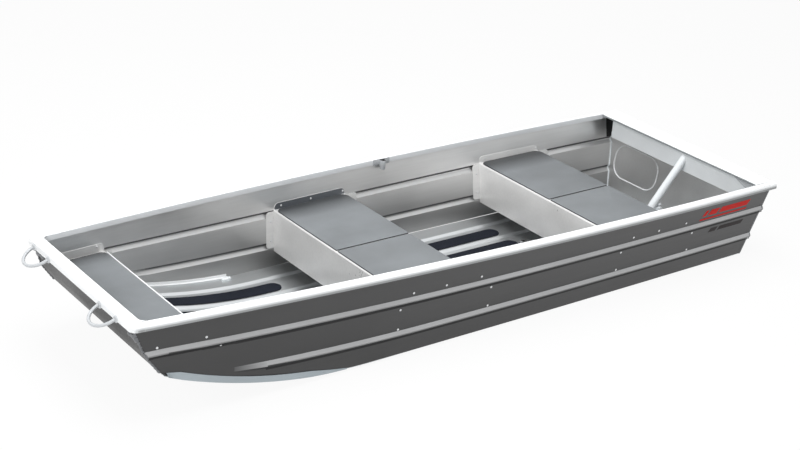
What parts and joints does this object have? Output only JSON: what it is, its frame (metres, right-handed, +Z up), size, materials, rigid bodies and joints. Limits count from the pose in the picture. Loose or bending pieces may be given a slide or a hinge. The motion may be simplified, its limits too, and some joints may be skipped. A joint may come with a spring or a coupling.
{
  "type": "aluminium punt boat",
  "caption": "Open flat-bottomed aluminium punt with a square raked bow, pressed strakes, box seats with grip pads, a short bow deck, rim extrusions, rowlock sockets and bow loops.",
  "frame": {"origin": "centre of the bounding box, on the surface that the keel ribs stand on", "axes": "+X forward to the bow, +Y to port, +Z up"},
  "size_m": [3.58, 1.2146, 0.449],
  "materials": {
    "hull_sheet": "brushed",
    "hull_outer": "brushed",
    "rim_white": "satin white",
    "strap": "satin",
    "pad": "matt foam",
    "grip": "matt grip",
    "drain": "matt"
  },
  "bodies": {
    "root": {"hull_bottom": "hull_sheet", "side_port": "hull_outer", "side_starboard": "hull_outer", "bow_plate": "hull_outer", "transom_plate": "hull_sheet", "gunwale_port": "rim_white", "gunwale_starboard": "rim_white", "bow_rim": "rim_white", "transom_cap": "rim_white", "transom_oval": "hull_sheet", "motor_pad": "hull_sheet", "drain_bung": "drain", "chine_strap_port": "strap", "chine_strap_starboard": "strap", "chine_angle_port": "strap", "chine_angle_starboard": "strap", "bow_deck": "hull_sheet", "bow_deck_pad": "pad", "mid_seat": "hull_sheet", "mid_seat_pad_port": "pad", "mid_seat_pad_starboard": "pad", "rear_seat": "hull_sheet", "rear_seat_pad_port": "pad", "rear_seat_pad_starboard": "pad", "floor_strips_front": "grip", "floor_strips_mid": "grip", "bow_loop_port": "rim_white", "bow_loop_starboard": "rim_white", "rowlock_port": "rim_white", "rowlock_starboard": "rim_white", "transom_brace": "rim_white", "brace_stool": "rim_white"}
  },
  "joints": []
}
